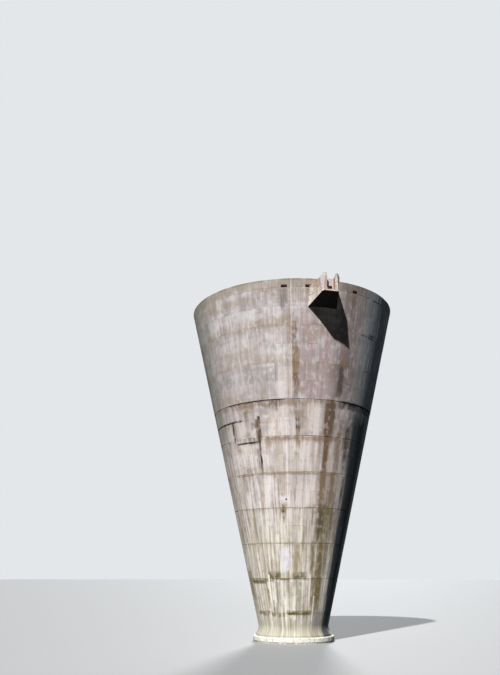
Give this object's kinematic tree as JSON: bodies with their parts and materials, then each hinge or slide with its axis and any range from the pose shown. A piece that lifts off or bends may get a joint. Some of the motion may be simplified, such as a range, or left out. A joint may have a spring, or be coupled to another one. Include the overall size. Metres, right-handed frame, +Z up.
{
  "type": "water tower",
  "caption": "Inverted-cone concrete water tower on a narrow flared foot, with a parapet rim, drain slots and an overflow spout.",
  "frame": {"origin": "centre of the plinth's underside, on the tower's axis, at ground level", "axes": "+Z up along the tower's axis, -Y towards the side that the picture shows"},
  "size_m": [15.4872, 16.5948, 25.25],
  "materials": {
    "plinth": "limewashed cast concrete",
    "foot": "board-marked concrete with moss",
    "wall": "board-marked concrete, stained",
    "rim": "board-marked concrete, brown with weather",
    "roof": "trowelled concrete",
    "spout": "cast concrete, rust stained",
    "lid": "galvanised, dull"
  },
  "bodies": {
    "root": {"plinth": "plinth", "foot_left": "foot", "foot_right": "foot", "lift_1_left": "wall", "lift_1_right": "wall", "lift_2_left": "wall", "lift_2_right": "wall", "lift_3_left": "wall", "lift_3_right": "wall", "lift_4_left": "wall", "lift_4_right": "wall", "lift_5_left": "wall", "lift_5_right": "wall", "lift_6_left": "wall", "lift_6_right": "wall", "lift_7_left": "wall", "lift_7_right": "wall", "lift_8_left": "wall", "lift_8_right": "wall", "lift_9_left": "wall", "lift_9_right": "wall", "rim_left": "rim", "rim_right": "rim", "roof_slab": "roof", "hatch_curb": "roof", "hatch_lid": "lid", "spout_floor": "spout", "spout_cheek_left": "spout", "spout_cheek_right": "spout", "spout_apron": "spout", "spout_lip": "spout"}
  },
  "joints": []
}
